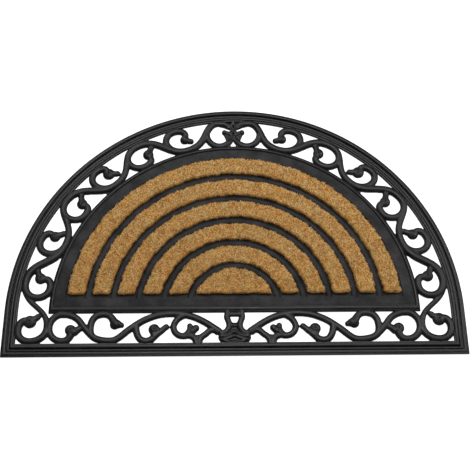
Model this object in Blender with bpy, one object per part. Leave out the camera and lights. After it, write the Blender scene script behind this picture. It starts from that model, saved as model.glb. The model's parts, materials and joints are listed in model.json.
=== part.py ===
# A half-round doormat: one moulded rubber mat with an open scroll border, and six coir inlays.
# Metres, +Z up. The mat lies on Z = 0 with its straight front edge towards -Y.
import math

import bmesh
import bpy
from mathutils import Matrix, Vector

MM = 0.001

# Driving sizes of the mat, seen from above
mat_width = 750 * MM
mat_depth = 450 * MM
frame_width = 20 * MM
border_width = 52 * MM
arc_steps = 60

# The outline is a half circle on two short straight sides
mat_radius = mat_width / 2
mat_side = mat_depth - mat_radius
centre_y = mat_side - mat_depth / 2
plate_radius = mat_radius - frame_width - border_width
plate_side = mat_side - frame_width - border_width

# Section of the outer frame's top, in millimetres: distance in from the edge, and height
frame_profile = [
    {"inset": 0.0, "height": 5.2},
    {"inset": 1.2, "height": 7.3},
    {"inset": 4.6, "height": 7.5},
    {"inset": 6.5, "height": 5.4},
    {"inset": 8.0, "height": 8.0},
    {"inset": 11.2, "height": 8.0},
    {"inset": 12.8, "height": 5.6},
    {"inset": 14.2, "height": 7.4},
    {"inset": 16.6, "height": 7.2},
    {"inset": frame_width / MM, "height": 4.6},
]

# Section of the inner plate's rim, in the same way: a raised bead, a groove, then the flat
plate_profile = [
    {"inset": 0.0, "height": 4.6},
    {"inset": 2.4, "height": 7.0},
    {"inset": 5.6, "height": 7.0},
    {"inset": 7.2, "height": 4.8},
    {"inset": 9.2, "height": 5.4},
]

# Coir inlays: five arcs and a half disc, all cut off on one straight line
coir_arcs = 5
coir_radius = 275.2 * MM
coir_pitch = 41.0 * MM
coir_arc_width = 30.4 * MM
coir_base_y = 27.3 * MM
coir_top = 10.4 * MM
coir_chamfer = 1.2 * MM
coir_corner = 3.5 * MM
corner_cut = 0.27
coir_wobble = 0.4 * MM
coir_clearance = 0.3 * MM

# The recess that holds the coir, and the ribs that stand in it between the inlays
recess_floor = 2.0 * MM
recess_margin = 2.4 * MM
rib_width = 8.0 * MM
rib_height = 5.7 * MM
rib_root = 1.0 * MM
rib_reach = 1.0 * MM
rib_crest_share = 0.8

# Bars, pads and knobs of the scroll border. A bar's crest is narrower than its foot.
bar_width = 11.5
bar_height = 7.2 * MM
ridge_height = 8.2 * MM
pad_chamfer = 1.6 * MM
crest_share = 0.46
knob_height = 8.0 * MM
knob_top_share = 0.55
border_half = border_width / 2
midline = plate_radius + border_half
midline_quarter = midline * math.pi / 2

# Scrolls of the arc from the top middle to the front corner, in millimetres along and across
# the border. The first is a loop without a stem, and the others curl in and out by turns.
first_scroll = 24.5
scroll_pitch = 74.8
arc_scrolls = [
    {"half_width": 22.5, "half_height": 22.0, "knob_across": 0.0, "tip_reach": 0.0},
    {"half_width": 18.5, "half_height": 21.5, "knob_across": 0.5, "tip_reach": 25.5},
    {"half_width": 19.0, "half_height": 22.0, "knob_across": -2.5, "tip_reach": 26.0},
    {"half_width": 18.5, "half_height": 21.5, "knob_across": 0.5, "tip_reach": 30.0},
    {"half_width": 19.0, "half_height": 22.0, "knob_across": -2.5, "tip_reach": 26.0},
    {"half_width": 18.5, "half_height": 21.5, "knob_across": 0.5, "tip_reach": 29.0},
    {"half_width": 19.0, "half_height": 22.0, "knob_across": -3.0, "tip_reach": 27.0},
    {"half_width": 20.0, "half_height": 23.0, "knob_across": 0.5, "tip_reach": 28.0},
]
leave_angle = 50
enter_angle = -100
curl_angle = 138

# How far a chord may lie inside its arc, how close two points are one, and how flat a face is one
chord_depth = 0.2 * MM
weld_distance = 0.01 * MM
flat_angle = 0.5

rubber_colour = (0.042, 0.041, 0.042, 1)
coir_colour = (0.366, 0.205, 0.069, 1)


def clear_scene():
    for item in list(bpy.data.objects):
        bpy.data.objects.remove(item)


def plain_material(name, colour, roughness):
    material = bpy.data.materials.new(name)
    material.use_nodes = True
    shader = material.node_tree.nodes["Principled BSDF"]
    shader.inputs["Base Color"].default_value = colour
    shader.inputs["Roughness"].default_value = roughness
    shader.inputs["Metallic"].default_value = 0
    return material


# Paths and outlines in plan, about the arc's centre

def on_border(along, across):
    """A place on the border's left half, from millimetres along and across its middle line."""
    along *= MM
    radius = midline + across * MM
    if along > midline_quarter:
        return (-radius, midline_quarter - along)
    angle = along / midline
    return (-radius * math.sin(angle), radius * math.cos(angle))


def ellipse_arc(centre, half_width, half_height, start, stop, steps):
    points = []
    for step in range(steps + 1):
        angle = math.radians(start + (stop - start) * step / steps)
        points.append((centre[0] + half_width * math.cos(angle), centre[1] + half_height * math.sin(angle)))
    return points


def half_circle_on_sides(radius, side):
    """The mat's outline: a half circle on two straight sides that reach down to the front."""
    return [(radius, -side)] + ellipse_arc((0, 0), radius, radius, 0, 180, arc_steps) + [(-radius, -side)]


def cut_off_circle(radius, base, steps=arc_steps):
    """The part of a circle that lies above a straight line."""
    side = math.degrees(math.asin(base / radius))
    return ellipse_arc((0, 0), radius, radius, side, 180 - side, steps)


def steps_round(radius):
    """How many chords a half circle needs."""
    return math.ceil(math.pi / (2 * math.acos(1 - chord_depth / radius)))


def ellipse_heading(half_width, half_height, angle, turn):
    """Heading in degrees at one angle of an ellipse. A turn of 1 is anticlockwise."""
    across = -turn * half_width * math.sin(math.radians(angle))
    up = turn * half_height * math.cos(math.radians(angle))
    return math.degrees(math.atan2(up, across))


def s_curve(start, start_heading, start_reach, end, end_heading, end_reach, steps):
    """A cubic curve between two places that leaves and arrives at the given headings."""
    leave = math.radians(start_heading)
    arrive = math.radians(end_heading)
    first = Vector(start)
    last = Vector(end)
    second = first + start_reach * Vector((math.cos(leave), math.sin(leave)))
    third = last - end_reach * Vector((math.cos(arrive), math.sin(arrive)))
    points = []
    for step in range(steps + 1):
        k = step / steps
        m = 1 - k
        place = m ** 3 * first + 3 * m * m * k * second + 3 * m * k * k * third + k ** 3 * last
        points.append((place.x, place.y))
    return points


def in_metres(points):
    return [(x * MM, y * MM) for x, y in points]


# Pieces of the border: a bar has a path and widths, a knob has a place and a radius, and a
# pad has an outline. Their sizes are given in millimetres.

def bar(path, width, ending=(), height=bar_height):
    """A bar of one width, whose path runs on through the places and widths of its ending."""
    path = path + in_metres([(x, y) for x, y, _ in ending])
    widths = [width] * (len(path) - len(ending)) + [row[2] for row in ending]
    return {"kind": "bar", "path": path, "widths": [one * MM for one in widths], "height": height}


def tapered(rows, height=bar_height):
    return bar([], 0, rows, height)


def knob(place, radius):
    return {"kind": "knob", "path": [place], "radius": radius * MM}


def pad(outline):
    return {"kind": "pad", "path": in_metres(outline)}


def mirrored(piece):
    return piece | {"path": [(-x, y) for x, y in piece["path"]]}


def stem_and_ring(scroll, before):
    """A scroll's bar in its own axes: the stem leaves the ring before it and runs into its own ring."""
    angle = math.radians(leave_angle)
    start = (before["half_width"] * math.cos(angle) - scroll_pitch, before["half_height"] * math.sin(angle))
    leaving = ellipse_heading(before["half_width"], before["half_height"], leave_angle, -1)
    ring = ellipse_arc((0, 0), scroll["half_width"], scroll["half_height"], enter_angle, curl_angle, 13)
    entering = ellipse_heading(scroll["half_width"], scroll["half_height"], enter_angle, 1)
    return s_curve(start, leaving, 24, ring[0], entering, 35, 6) + ring[1:]


def arc_pieces():
    """The scrolls along the left half of the arc, each with its knob and the tip beyond it."""
    pieces = []
    for number in range(1, len(arc_scrolls)):
        scroll = arc_scrolls[number]
        along = first_scroll + scroll_pitch * number
        side = 1 if number % 2 else -1
        across = scroll["knob_across"]
        body = stem_and_ring(scroll, arc_scrolls[number - 1]) + [(-14.5, across + 7), (-13.5, across)]
        tip = [(-12.5, across + 0.5), (-19, across - 4.5), (-scroll["tip_reach"], across - 8)]
        body_bar = bar([on_border(along + u, side * t) for u, t in body], bar_width)
        tip_bar = bar([on_border(along + u, side * t) for u, t in tip], bar_width)
        body_bar["widths"][-2:] = [12.5 * MM, 14 * MM]
        tip_bar["widths"] = [15 * MM, 13 * MM, 9 * MM]
        pieces += [body_bar, tip_bar, knob(on_border(along - 13.5, side * across), 8.2)]
    return pieces


def top_pieces():
    """Left half of the motif at the top middle: a loop, and a wing that ends in a small knob."""
    loop = arc_scrolls[0]
    ring = ellipse_arc((first_scroll, 0), loop["half_width"], loop["half_height"], -150, 112, 17)
    return [
        bar([on_border(u, t) for u, t in ring], bar_width, [(-8, 345.5, 11), (-0.5, 342.5, 10)]),
        tapered([(-3, 323, 15), (-8, 326, 14), (-13.5, 331, 10)]),
        knob((-13.5 * MM, 331.5 * MM), 6),
    ]


def front_pieces():
    """Left half of the front border: a long wave from the corner to the middle, and its curls."""
    wave = s_curve((-278, -6), 0, 38, (-204, -51), 0, 24, 8)
    wave += s_curve((-204, -51), 0, 24, (-103, -5.5), 0, 50, 10)[1:]
    wave += s_curve((-103, -5.5), 0, 34, (-20, -39), -36, 20, 8)[1:]
    leaf = s_curve((-82, -41.5), -28, 14, (-56, -43), 22, 8, 4)
    leaf += s_curve((-56, -43), 22, 8, (-28, -36), -12, 14, 4)[1:]
    corner_ring = ellipse_arc((-278.5, -28.5), 22, 22.5, 85, 288, 9)
    second_ring = ellipse_arc((-209.5, -28.5), 22.8, 23, 200, 72, 8)
    third_ring = ellipse_arc((-143, -33), 16, 18, 140, 300, 8)
    fourth_ring = [(-84, -9.5), (-90, -13)] + ellipse_arc((-86, -28), 13.5, 14, 130, 290, 8)
    return [
        bar(in_metres(wave), bar_width),
        bar(in_metres(corner_ring), bar_width, [(-266.5, -42.5, 12), (-265, -33, 14)]),
        knob((-265.5 * MM, -33 * MM), 8.2),
        tapered([(-266, -32, 14), (-257, -30.5, 11.5), (-248, -28.5, 8)]),
        bar(in_metres(second_ring), bar_width, [(-197.5, -13, 14), (-194.5, -22, 16)]),
        knob((-194.5 * MM, -22 * MM), 8.6),
        tapered([(-195, -23, 16), (-188, -24, 12.5), (-180.5, -24.5, 9)]),
        bar(in_metres(third_ring), 10.5, [(-126, -40, 13), (-110.5, -28, 8.5)]),
        knob((-130 * MM, -33.5 * MM), 8),
        bar(in_metres(fourth_ring), 10.5, [(-75, -35, 10.5), (-72, -26.5, 8.5)]),
        tapered([(-76, -35, 10), (-68, -34, 11), (-62, -31, 11)]),
        knob((-62.5 * MM, -31 * MM), 6.8),
        bar(in_metres(leaf), 10),
        tapered([(-60, -43, 13), (-60, -50, 15), (-60, -58, 19)]),
        tapered([(-12, 1, 10), (-12.5, -10, 10), (-10, -20, 10), (-8, -27, 10), (-11, -36, 10)]),
        tapered([(-22, -47, 5.5), (-10, -42.5, 5.5), (1, -37.5, 5.5)], ridge_height),
    ]


def middle_pieces():
    """What stands on the mat's own middle line: a leaf and a boss at the top, a vase at the front."""
    vase = [(3.5, -22), (13, -28), (16, -34), (26, -42), (25.5, -48), (23, -58)]
    return [
        tapered([(0, 358, 14), (0, 345, 9), (0, 326, 5)]),
        pad(ellipse_arc((0, 321), 12.5, 8.5, 0, 330, 11)),
        pad([(9, -9.5), (9, 1), (-9, 1), (-9, -9.5)]),
        pad([(-x, y) for x, y in vase] + vase[::-1]),
        tapered([(-13, -51.5, 5), (0, -48.5, 5), (13, -51.5, 5)], ridge_height),
    ]


# Solids

def object_from(bm, name):
    """An object made from a bmesh that is drawn about the arc's centre."""
    bmesh.ops.recalc_face_normals(bm, faces=bm.faces)
    mesh = bpy.data.meshes.new(name)
    bm.to_mesh(mesh)
    bm.free()
    mesh.shade_smooth()
    mesh.set_sharp_from_angle(angle=math.radians(30))
    item = bpy.data.objects.new(name, mesh)
    item.location.y = centre_y
    bpy.context.scene.collection.objects.link(item)
    return item


def joined_rings(bm, loops):
    """Faces from each ring of places to the next one, point by point. Returns the rings' corners."""
    rings = [[bm.verts.new(place) for place in loop] for loop in loops]
    for first, second in zip(rings, rings[1:]):
        for i in range(len(first)):
            bm.faces.new((first[i - 1], first[i], second[i], second[i - 1]))
    return rings


def closed_stack(loops, name):
    """A solid between two flat ends, through rings of places."""
    bm = bmesh.new()
    rings = joined_rings(bm, loops)
    bm.faces.new(rings[0])
    bm.faces.new(rings[-1])
    return object_from(bm, name)


def level(outline, height):
    return [(x, y, height) for x, y in outline]


def prism_object(name, outline, base, height, chamfer):
    """An upright prism over an outline, with a chamfer round its top."""
    bm = bmesh.new()
    face = bm.faces.new([bm.verts.new(place) for place in level(outline, base)])
    raised = bmesh.ops.extrude_face_region(bm, geom=[face])["geom"]
    lid = next(part for part in raised if isinstance(part, bmesh.types.BMFace))
    bmesh.ops.translate(bm, vec=(0, 0, height - chamfer - base), verts=lid.verts)
    bmesh.ops.recalc_face_normals(bm, faces=bm.faces)
    if chamfer:
        bmesh.ops.inset_region(bm, faces=[lid], thickness=chamfer, depth=chamfer, use_even_offset=True)
    return object_from(bm, name)


def swept_object(name, path, widths, base, height, share=crest_share):
    """A bar with slanted sides and a flat crest, swept along a path in plan."""
    sections = []
    for index, point in enumerate(path):
        before = Vector(path[max(index - 1, 0)])
        after = Vector(path[min(index + 1, len(path) - 1)])
        along = (after - before).normalized()
        across = Vector((-along.y, along.x)) * widths[index] / 2
        foot = [Vector(point) + across, Vector(point) - across]
        crest = [Vector(point) - across * share, Vector(point) + across * share]
        sections.append(level(foot, base) + level(crest, height))
    return closed_stack(sections, name)


def knob_object(name, place, radius):
    """A low round boss with a smaller top."""
    bm = bmesh.new()
    lift = Matrix.Translation((place[0], place[1], knob_height / 2))
    bmesh.ops.create_cone(bm, cap_ends=True, segments=10, radius1=radius, radius2=radius * knob_top_share,
                          depth=knob_height, matrix=lift)
    return object_from(bm, name)


def border_object(number, piece):
    name = f"{piece['kind']}_{number}"
    if piece["kind"] == "knob":
        return knob_object(name, piece["path"][0], piece["radius"])
    if piece["kind"] == "pad":
        return prism_object(name, piece["path"], 0, bar_height, pad_chamfer)
    return swept_object(name, piece["path"], piece["widths"], 0, piece["height"])


def coir_outline(number, margin=0.0):
    """Outline of one inlay, counted from the outside. The last one is the half disc."""
    outer = coir_radius - coir_pitch * number + margin
    inner = outer - coir_arc_width - 2 * margin
    base = coir_base_y - margin

    def arc(radius):
        side = math.asin(base / radius)
        corner = coir_corner / radius
        reach = radius * math.cos(side)
        turns = 1 if radius == outer else -1
        cut = corner_cut * coir_corner
        points = [(reach - turns * coir_corner, base), (reach - turns * cut, base + cut)]
        steps = steps_round(radius)
        for step in range(steps + 1):
            angle = side + corner + (math.pi - 2 * (side + corner)) * step / steps
            wave = math.sin(7 * angle + number) + 0.7 * math.sin(19 * angle + 2 * number)
            edge = radius + coir_wobble * wave
            points.append((edge * math.cos(angle), edge * math.sin(angle)))
        return points + [(-x, y) for x, y in points[1::-1]]

    if number == coir_arcs:
        return arc(outer)
    return arc(outer) + arc(inner)[::-1]


def coir_inlay(number):
    names = [f"coir_arc_{index}" for index in range(1, coir_arcs + 1)] + ["coir_half_disc"]
    outline = coir_outline(number)
    inlay = prism_object(names[number], outline, recess_floor + coir_clearance, coir_top, coir_chamfer)
    inlay.data.materials.append(plain_material(f"{names[number]} fibre", coir_colour, 0.95))
    return inlay


def recess_cutter():
    outline = cut_off_circle(coir_radius + recess_margin, coir_base_y - recess_margin)
    return prism_object("recess", outline, recess_floor, 2 * coir_top, 0)


def rib_object(number):
    """A thin ridge of rubber between two inlays, rooted in the floor and the front of the recess."""
    radius = coir_radius - coir_pitch * number + (coir_pitch - coir_arc_width) / 2
    path = cut_off_circle(radius, coir_base_y - recess_margin - rib_reach, steps_round(radius))
    return swept_object(f"rib_{number}", path, [rib_width] * len(path), rib_root, rib_height, rib_crest_share)


def frame_ring():
    """The outer frame, open in the middle."""
    bm = bmesh.new()
    rows = [{"inset": 0, "height": 0}] + frame_profile + [{"inset": frame_width / MM, "height": 0}]
    loops = []
    for row in rows:
        inset = row["inset"] * MM
        loops.append(level(half_circle_on_sides(mat_radius - inset, mat_side - inset), row["height"] * MM))
    joined_rings(bm, loops + loops[:1])
    bmesh.ops.remove_doubles(bm, verts=bm.verts, dist=weld_distance)
    return object_from(bm, "rubber_mat")


def inner_plate():
    loops = []
    for row in [{"inset": 0, "height": 0}] + plate_profile:
        inset = row["inset"] * MM
        loops.append(level(cut_off_circle(plate_radius - inset, inset - plate_side), row["height"] * MM))
    return closed_stack(loops, "plate")


def guide_collection(name, members):
    """Shapes that only build another one: drawn as wires and left out of the render."""
    guides = bpy.data.collections.new(name)
    bpy.context.scene.collection.children.link(guides)
    for item in members:
        bpy.context.scene.collection.objects.unlink(item)
        guides.objects.link(item)
        item.hide_render = True
        item.display_type = "WIRE"
    return guides


def combine(item, operation, guides):
    modifier = item.modifiers.new(guides.name, "BOOLEAN")
    modifier.operation = operation
    modifier.solver = "EXACT"
    modifier.operand_type = "COLLECTION"
    modifier.collection = guides


def rubber_mat():
    """Frame, plate, ribs and scroll border, joined into one moulding."""
    half = arc_pieces() + top_pieces() + front_pieces()
    pieces = half + [mirrored(piece) for piece in half] + middle_pieces()
    border = [border_object(number, piece) for number, piece in enumerate(pieces)]
    ribs = [rib_object(number) for number in range(1, coir_arcs + 1)]
    mat = frame_ring()
    combine(mat, "UNION", guide_collection("plate_guide", [inner_plate()]))
    combine(mat, "DIFFERENCE", guide_collection("recess_guide", [recess_cutter()]))
    combine(mat, "UNION", guide_collection("border_guides", border + ribs))
    flat_faces = mat.modifiers.new("flat_faces", "DECIMATE")
    flat_faces.decimate_type = "DISSOLVE"
    flat_faces.angle_limit = math.radians(flat_angle)
    mat.data.materials.append(plain_material("rubber_mat rubber", rubber_colour, 0.6))
    return mat


def main():
    clear_scene()
    rubber_mat()
    for number in range(coir_arcs + 1):
        coir_inlay(number)


main()
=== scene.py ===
# Half-round coir doormat: moulded black rubber with an open scroll border and six coir inlays
import json
import math

import bpy
import numpy as np
from mathutils import Matrix, Vector, kdtree, noise

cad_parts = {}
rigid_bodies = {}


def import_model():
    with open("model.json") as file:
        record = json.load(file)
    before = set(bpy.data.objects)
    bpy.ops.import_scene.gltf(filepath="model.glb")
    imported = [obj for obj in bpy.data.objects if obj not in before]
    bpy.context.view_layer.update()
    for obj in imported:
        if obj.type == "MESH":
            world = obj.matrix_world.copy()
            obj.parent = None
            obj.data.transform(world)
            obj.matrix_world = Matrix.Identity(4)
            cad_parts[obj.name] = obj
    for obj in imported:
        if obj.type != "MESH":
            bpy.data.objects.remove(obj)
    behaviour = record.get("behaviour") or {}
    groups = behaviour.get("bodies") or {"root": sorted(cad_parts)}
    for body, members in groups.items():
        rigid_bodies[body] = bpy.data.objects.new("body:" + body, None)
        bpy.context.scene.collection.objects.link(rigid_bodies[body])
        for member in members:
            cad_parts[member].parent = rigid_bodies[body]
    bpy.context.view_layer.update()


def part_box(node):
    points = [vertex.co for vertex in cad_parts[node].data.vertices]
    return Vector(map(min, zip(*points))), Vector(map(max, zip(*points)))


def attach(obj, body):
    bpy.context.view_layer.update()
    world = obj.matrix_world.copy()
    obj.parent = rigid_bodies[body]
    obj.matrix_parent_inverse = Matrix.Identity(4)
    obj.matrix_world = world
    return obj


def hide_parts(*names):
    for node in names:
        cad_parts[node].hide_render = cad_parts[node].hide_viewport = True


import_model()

mm = 0.001

# The mat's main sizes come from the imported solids
matLow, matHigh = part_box("rubber_mat")
matRadius = (matHigh.x - matLow.x) / 2
matSide = (matHigh.y - matLow.y) - matRadius   # straight part of each side
centreY = matHigh.y - matRadius                # centre of the half circle
frameWidth = 20 * mm
borderWidth = 52 * mm
plateRadius = matRadius - frameWidth - borderWidth
plateSide = matSide - frameWidth - borderWidth
midline = plateRadius + borderWidth / 2        # radius of the scroll border's middle line
touching = 0.01 * mm
mouldedEdge, softEdge = 42, 60                 # in degrees, how sharp a fold still looks round


# Small helpers

def pickOnly(*objects):
    bpy.ops.object.select_all(action="DESELECT")
    for one in objects:
        one.select_set(True)
    bpy.context.view_layer.objects.active = objects[0]
    return objects[0]


def objectMode():
    bpy.ops.object.mode_set(mode="OBJECT")


def editAll(item, action):
    pickOnly(item)
    bpy.ops.object.mode_set(mode="EDIT")
    bpy.context.tool_settings.mesh_select_mode = (True, False, False)
    bpy.ops.mesh.select_all(action=action)


def pickVertices(item, chosen):  # leaves the item in edit mode with those vertices picked
    editAll(item, "DESELECT")
    objectMode()
    for vertex in item.data.vertices:
        vertex.select = chosen(vertex.co)
    bpy.ops.object.mode_set(mode="EDIT")


def extrude(*move):  # what is picked
    bpy.ops.mesh.extrude_region_move(TRANSFORM_OT_translate={"value": move})


def newObject(name, data):
    item = bpy.data.objects.new(name, data)
    bpy.context.scene.collection.objects.link(item)
    return item


def named(name):  # names the object that an operator has just made
    item = bpy.context.view_layer.objects.active
    item.name = item.data.name = name
    return item


def placesOf(item):
    flat = np.empty(len(item.data.vertices) * 3)
    item.data.vertices.foreach_get("co", flat)
    return flat.reshape(-1, 3)


def moveTo(item, places):
    item.data.vertices.foreach_set("co", np.asarray(places, dtype=float).ravel())
    item.data.update()


def modify(item, kind, **settings):
    modifier = item.modifiers.new(kind.lower(), kind)
    for setting, value in settings.items():
        setattr(modifier, setting, value)
    pickOnly(item)
    bpy.ops.object.modifier_apply(modifier=modifier.name)


def shadeRound(item, angle):
    pickOnly(item)
    bpy.ops.object.shade_smooth_by_angle(angle=math.radians(angle))


def facesOut(item):
    editAll(item, "SELECT")
    bpy.ops.mesh.remove_doubles(threshold=touching)
    bpy.ops.mesh.normals_make_consistent(inside=False)
    objectMode()


def dress(item, material, slot, *nodes):
    item.data.materials.append(material)
    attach(item, "root")
    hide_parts(*nodes)
    count = sum(len(face.vertices) - 2 for face in item.data.polygons)
    print(f"{item.name}: {count} triangles")


# Camera at the photograph's viewing angle

cameraSet = {"lens": 64.02, "sensor": 36, "distance": 1421.5 * mm, "tilt": 22.9, "yaw": -0.436,
             "aim": (1.84 * mm, 134.85 * mm), "nearest": 50 * mm}


def addCamera():
    tilt = math.radians(cameraSet["tilt"])
    yaw = math.radians(cameraSet["yaw"])
    back = Vector((math.sin(yaw) * math.sin(tilt), -math.cos(yaw) * math.sin(tilt), math.cos(tilt)))
    right = Vector((math.cos(yaw), math.sin(yaw), 0))
    up = back.cross(right)
    turned = Matrix((right, up, back)).transposed().to_4x4()
    aim = Vector((cameraSet["aim"][0], centreY + cameraSet["aim"][1], 0))
    bpy.ops.object.camera_add()
    camera = named("photo_camera")
    camera.matrix_world = Matrix.Translation(aim + back * cameraSet["distance"]) @ turned
    camera.data.lens = cameraSet["lens"]
    camera.data.sensor_width = cameraSet["sensor"]
    camera.data.clip_start = cameraSet["nearest"]
    bpy.context.scene.camera = camera
    print("camera placed")


addCamera()


# Node helpers and the effects that materials share

def addNode(tree, kind, x, y, **settings):
    node = tree.nodes.new(kind)
    node.location = (x, y)
    for setting, value in settings.items():
        setattr(node, setting, value)
    return node


def feed(socket, value):  # with another node's output or with a fixed value
    if isinstance(value, bpy.types.NodeSocket):
        socket.id_data.links.new(value, socket)
    else:
        socket.default_value = value


def put(node, **values):  # feeds inputs by name, with _ for a space
    for name, value in values.items():
        feed(node.inputs[name.replace("_", " ")], value)
    return node


def newGroup(name, inputs, outputs):  # sockets are given with their kinds
    group = bpy.data.node_groups.new(name, "ShaderNodeTree")
    for side, sockets in (("INPUT", inputs), ("OUTPUT", outputs)):
        for label, kind in sockets.items():
            group.interface.new_socket(label, in_out=side, socket_type=f"NodeSocket{kind}")
    return group, addNode(group, "NodeGroupInput", -900, 0).outputs, addNode(group, "NodeGroupOutput", 900, 0)


def noiseOn(tree, x, y, scale, detail, roughness):  # noise in object coordinates
    place = addNode(tree, "ShaderNodeTexCoord", x - 250, y)
    node = put(addNode(tree, "ShaderNodeTexNoise", x, y), Vector=place.outputs["Object"])
    return put(node, Scale=scale, Detail=detail, Roughness=roughness).outputs["Fac"]


def stretch(tree, x, y, value, low, high):  # so that low and high become 0 and 1
    node = addNode(tree, "ShaderNodeMapRange", x, y)
    return put(node, Value=value, From_Min=low, From_Max=high).outputs["Result"]


def blend(tree, x, y, factor, a, b, mode="MIX"):
    node = addNode(tree, "ShaderNodeMix", x, y, data_type="RGBA", blend_type=mode)
    return put(node, Factor=factor, A=a, B=b).outputs["Result"]


def reckon(tree, x, y, operation, *values):
    node = addNode(tree, "ShaderNodeMath", x, y, operation=operation)
    for socket, value in zip(node.inputs, values):
        feed(socket, value)
    return node.outputs["Value"]


# Noises are scale, detail and roughness, and ends are the part of a noise's range that is used
skinSet = {
    "grain": (1100, 3, 0.6), "blotch": (42, 5, 0.6), "blotchEnds": (0.36, 0.66), "dust": (190, 5, 0.7),
    "dustEnds": (0.55, 0.8), "dustColour": (0.075, 0.07, 0.066, 1), "roughSpread": 0.12,
    "bump": 0.25 * mm}


def rubberSkin():  # fine moulded grain, soft blotches and a little grey dust
    inputs = {"Dark": "Color", "Light": "Color", "Dust": "Float", "Least Roughness": "Float", "Grain": "Float"}
    outputs = {"Colour": "Color", "Roughness": "Float", "Normal": "Vector"}
    group, given, made = newGroup("rubber skin", inputs, outputs)
    blotches = noiseOn(group, -600, 150, *skinSet["blotch"])
    blotches = stretch(group, -350, 150, blotches, *skinSet["blotchEnds"])
    specks = noiseOn(group, -600, -100, *skinSet["dust"])
    specks = stretch(group, -350, -100, specks, *skinSet["dustEnds"])
    colour = blend(group, -50, 200, blotches, given["Dark"], given["Light"])
    dust = reckon(group, -50, -100, "MULTIPLY", specks, given["Dust"])
    rough = reckon(group, 250, -150, "MULTIPLY_ADD", blotches, skinSet["roughSpread"],
                   given["Least Roughness"])
    bump = put(addNode(group, "ShaderNodeBump", 500, -300), Distance=skinSet["bump"],
               Strength=given["Grain"], Height=noiseOn(group, -600, 400, *skinSet["grain"]))
    put(made, Colour=blend(group, 250, 200, dust, colour, skinSet["dustColour"]), Roughness=rough,
        Normal=bump.outputs["Normal"])
    return group


# Reddish brown, golden, straw and yellow, between the darkest and the palest
coirColours = [(0.22, (0.34, 0.15, 0.037)), (0.42, (0.6, 0.346, 0.092)), (0.6, (0.762, 0.492, 0.143)),
               (0.78, (0.84, 0.62, 0.223))]
# root is the painted shade brown that the pile is multiplied by at height level 0, fading to none at the level
# clear
toneSet = {
    "darkest": (0.1, 0.04, 0.01, 1), "palest": (0.88, 0.72, 0.4, 1), "patch": (150, 5, 0.7),
    "patchShare": 0.95, "tintEnds": (0.265, 1.165), "root": (0.3, 0.19, 0.12, 1), "clear": 0.8,
    "hue": (62, 4, 0.65), "hueEnds": (0.36, 0.64), "orange": (1.07, 0.96, 0.8, 1),
    "olive": (0.99, 1.02, 1.06, 1)}


def coirTone():  # straw colours that vary by fibre and by patch, darkened and browned by painted shade where the height level is low
    group, given, made = newGroup("coir tone", {"Tint": "Float", "Height": "Float"}, {"Colour": "Color"})
    patches = noiseOn(group, -600, 300, *toneSet["patch"])
    tint = reckon(group, -350, 200, "MULTIPLY_ADD", patches, toneSet["patchShare"], given["Tint"])
    straw = put(addNode(group, "ShaderNodeValToRGB", 50, 200),
                Fac=stretch(group, -150, 200, tint, *toneSet["tintEnds"]))
    stops = straw.color_ramp.elements
    stops[0].color = toneSet["darkest"]
    stops[1].color = toneSet["palest"]
    for position, colour in coirColours:
        stops.new(position).color = (*colour, 1)
    # Painted shade: low height levels multiply the straw by the root brown
    depth = stretch(group, 50, -100, given["Height"], 0, toneSet["clear"])
    shade = blend(group, 250, -100, depth, toneSet["root"], (1, 1, 1, 1))
    shaded = blend(group, 500, 200, 1, straw.outputs["Color"], shade, "MULTIPLY")
    hues = stretch(group, 50, -400, noiseOn(group, -350, -400, *toneSet["hue"]), *toneSet["hueEnds"])
    cast = blend(group, 250, -400, hues, toneSet["orange"], toneSet["olive"])
    put(made, Colour=blend(group, 700, 200, 1, shaded, cast, "MULTIPLY"))
    return group


rubberGroup = rubberSkin()
coirGroup = coirTone()


def newMaterial(name):
    material = bpy.data.materials.new(name)
    material.use_nodes = True
    return material, material.node_tree, material.node_tree.nodes["Principled BSDF"]


def rubberMaterial(name, specular, **finish):
    material, tree, shader = newMaterial(name)
    skin = put(addNode(tree, "ShaderNodeGroup", -300, 200, node_tree=rubberGroup), **finish).outputs
    put(shader, Metallic=0, Specular_IOR_Level=specular, Base_Color=skin["Colour"],
        Roughness=skin["Roughness"], Normal=skin["Normal"])
    return material


def coirMaterial(name):  # reads each fibre's tint, and its height level, which sets the painted shade low in the pile, at its edges and on its walls
    material, tree, shader = newMaterial(name)
    tone = addNode(tree, "ShaderNodeGroup", -300, 200, node_tree=coirGroup)
    for socket in ("Tint", "Height"):
        reader = addNode(tree, "ShaderNodeAttribute", -600, 200, attribute_name=socket.lower())
        feed(tone.inputs[socket], reader.outputs["Fac"])
    put(shader, Roughness=0.78, Specular_IOR_Level=0.3, Base_Color=tone.outputs["Colour"])
    return material


borderMaterial = rubberMaterial(
    "satin moulded rubber", specular=0.24, Dust=0.3, Least_Roughness=0.4, Grain=0.12,
    Dark=(0.0045, 0.0045, 0.005, 1), Light=(0.013, 0.0125, 0.0125, 1))
# Darker than the plate as painted shade in the grooves beside the inlays, and brownish with coir dust
shadedGrooveMaterial = rubberMaterial(
    "dusty rubber with painted groove shade", specular=0.08, Dust=0.6, Least_Roughness=0.7, Grain=0.4,
    Dark=(0.007, 0.0055, 0.005, 1), Light=(0.022, 0.016, 0.013, 1))
plateMaterial = rubberMaterial(
    "matt moulded rubber", specular=0.08, Dust=0.4, Least_Roughness=0.6, Grain=0.25,
    Dark=(0.014, 0.0142, 0.0156, 1), Light=(0.036, 0.0355, 0.0362, 1))
pileMaterial = coirMaterial("coir fibre")
print("materials ready")


# Paths in plan

def ellipseArc(centre, halfWidth, halfHeight, start, stop, steps):
    points = []
    for step in range(steps + 1):
        angle = math.radians(start + (stop - start) * step / steps)
        points.append((centre[0] + halfWidth * math.cos(angle), centre[1] + halfHeight * math.sin(angle)))
    return points


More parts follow.
